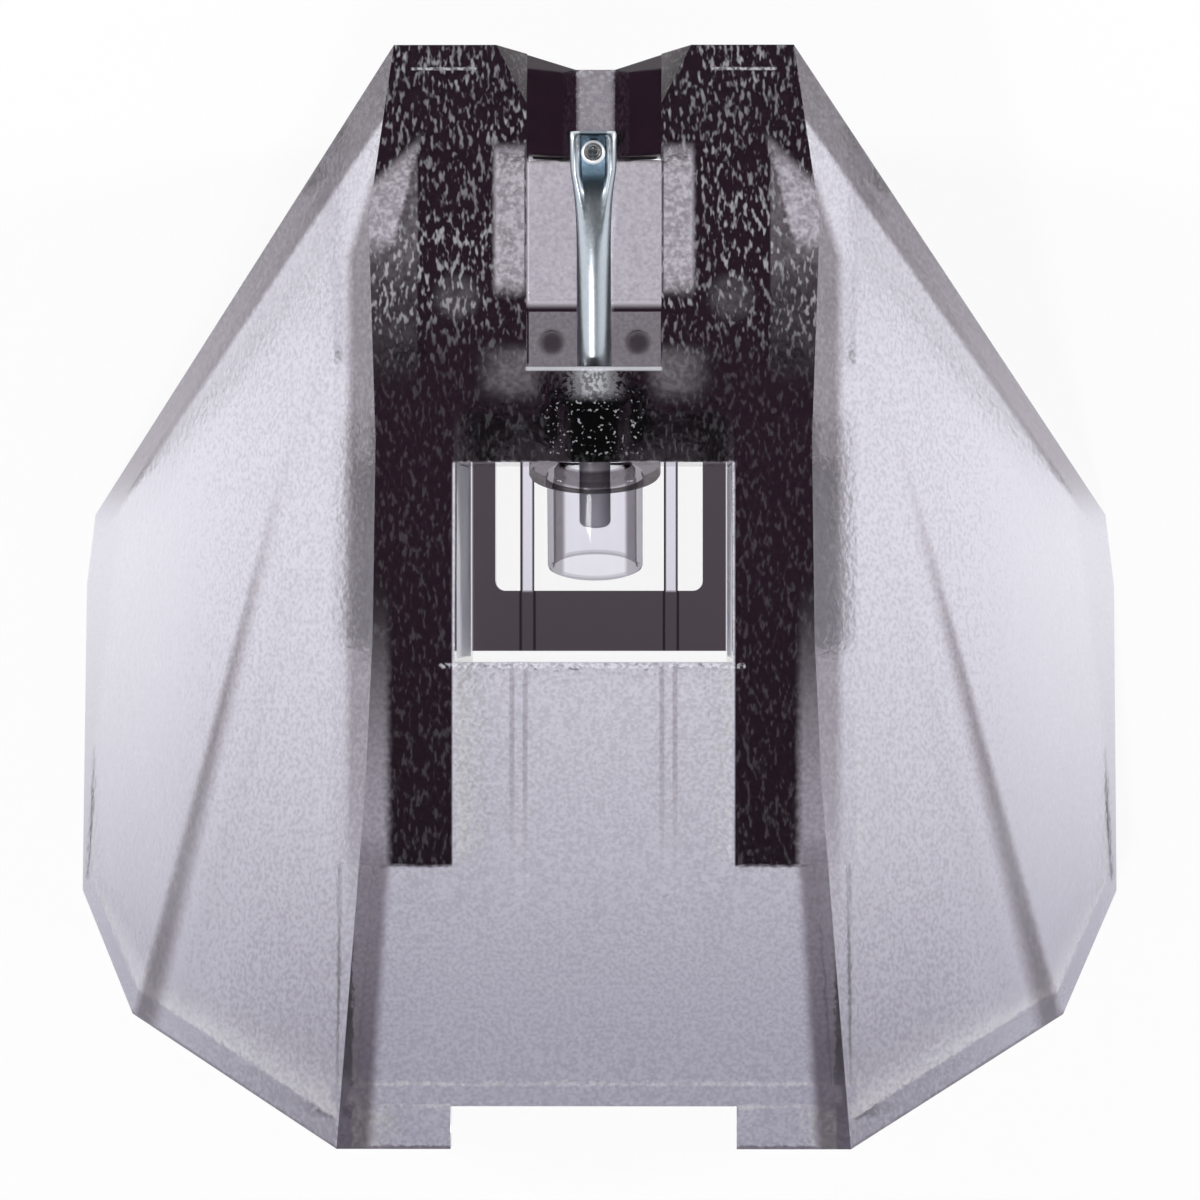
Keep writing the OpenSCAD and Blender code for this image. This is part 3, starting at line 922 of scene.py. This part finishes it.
def studio_world(sizes):
    """A dome that is bright at the sides and dim straight above, and plain white for the camera."""
    world = bpy.data.worlds.new("studio")
    world.use_nodes = True
    world.cycles.sampling_method = "NONE"
    tree = world.node_tree
    tree.nodes.clear()
    output = tree.nodes.new("ShaderNodeOutputWorld")
    sky = tree.nodes.new("ShaderNodeBackground")
    white = tree.nodes.new("ShaderNodeBackground")
    path = tree.nodes.new("ShaderNodeLightPath")
    either = tree.nodes.new("ShaderNodeMixShader")
    towards = tree.nodes.new("ShaderNodeTexCoord")
    parts = tree.nodes.new("ShaderNodeSeparateXYZ")
    dome = tree.nodes.new("ShaderNodeMapRange")
    dome.interpolation_type = "SMOOTHSTEP"
    for socket, value in (("From Min", 0.68), ("From Max", 0.86), ("To Min", sizes.dome), ("To Max", sizes.zenith)):
        dome.inputs[socket].default_value = value
    sky.inputs["Color"].default_value = (0.97, 0.98, 1, 1)
    white.inputs["Color"].default_value = (1, 1, 1, 1)
    tree.links.new(towards.outputs["Generated"], parts.inputs[0])
    tree.links.new(parts.outputs["Z"], dome.inputs["Value"])
    tree.links.new(dome.outputs[0], sky.inputs["Strength"])
    tree.links.new(path.outputs["Is Camera Ray"], either.inputs[0])
    tree.links.new(sky.outputs[0], either.inputs[1])
    tree.links.new(white.outputs[0], either.inputs[2])
    tree.links.new(either.outputs[0], output.inputs["Surface"])
    return world


class STYLUS_OT_stage(bpy.types.Operator):
    """The light table, the soft lamps and the camera straight above the unit"""

    bl_idname = "stylus.stage"
    bl_label = "Stage"

    def execute(self, context):
        scene = context.scene
        sizes = scene.stylus_stage
        bpy.ops.object.select_all(action="DESELECT")
        bpy.ops.mesh.primitive_grid_add(size=1.2, x_subdivisions=8, y_subdivisions=8, location=(0, 0, -0.00002))
        table = context.object
        table.name = "light_table"
        bpy.ops.object.transform_apply(location=True, rotation=True, scale=True)
        table.data.materials.append(table_finish(sizes.table_tint))
        for name, spot in LAMPS.items():
            bpy.ops.object.light_add(type="AREA", location=spot)
            lamp = context.object
            lamp.name = name
            lamp.data.size = LAMP_SIZE
            lamp.data.energy = LAMP_WATTS
            lamp.rotation_euler = (-Vector(spot)).to_track_quat("-Z", "Y").to_euler()
        scene.world = studio_world(sizes)
        eye = Vector((EYE_X, AIM_Y, sizes.camera_height))
        goal = Vector((0, AIM_Y, 0))
        bpy.ops.object.camera_add(location=eye)
        camera = context.object
        camera.name = "photo_camera"
        camera.rotation_euler = (0, math.atan2(eye.x - goal.x, eye.z), 0)
        camera.data.lens = PHOTO_LENS * (eye - goal).length / PHOTO_HEIGHT
        camera.data.sensor_width = 36
        camera.data.sensor_fit = "HORIZONTAL"
        camera.data.clip_start = 0.001
        scene.camera = camera
        scene.view_settings.view_transform = "Standard"
        scene.cycles.max_bounces = 6
        return {"FINISHED"}


class STYLUS_PT_panel(bpy.types.Panel):
    """Lists the pieces of the stylus unit"""

    bl_idname = "STYLUS_PT_panel"
    bl_label = "Stylus unit"
    bl_space_type = "VIEW_3D"
    bl_region_type = "UI"
    bl_category = "Stylus"

    def draw(self, context):
        for group in (context.scene.stylus_hood, context.scene.stylus_arm, context.scene.stylus_stage):
            box = self.layout.box()
            for key in group.bl_rna.properties.keys():
                if key not in ("rna_type", "name"):
                    box.prop(group, key)
        for step in STEPS:
            self.layout.operator(step.bl_idname)


STEPS = (
    STYLUS_OT_hood,
    STYLUS_OT_sleeve,
    STYLUS_OT_damper,
    STYLUS_OT_magnet,
    STYLUS_OT_arm,
    STYLUS_OT_stylus,
    STYLUS_OT_stage,
)
CLASSES = (HoodSizes, ArmSizes, StageSizes, *STEPS, STYLUS_PT_panel)


def register():
    for each in CLASSES:
        bpy.utils.register_class(each)
    bpy.types.Scene.stylus_hood = bpy.props.PointerProperty(type=HoodSizes)
    bpy.types.Scene.stylus_arm = bpy.props.PointerProperty(type=ArmSizes)
    bpy.types.Scene.stylus_stage = bpy.props.PointerProperty(type=StageSizes)


def unregister():
    del bpy.types.Scene.stylus_hood
    del bpy.types.Scene.stylus_arm
    del bpy.types.Scene.stylus_stage
    for each in reversed(CLASSES):
        bpy.utils.unregister_class(each)


def main():
    register()
    bpy.ops.stylus.hood()
    bpy.ops.stylus.sleeve()
    bpy.ops.stylus.damper()
    bpy.ops.stylus.magnet()
    bpy.ops.stylus.arm()
    bpy.ops.stylus.stylus()
    bpy.ops.stylus.stage()


if __name__ == "__main__":
    main()
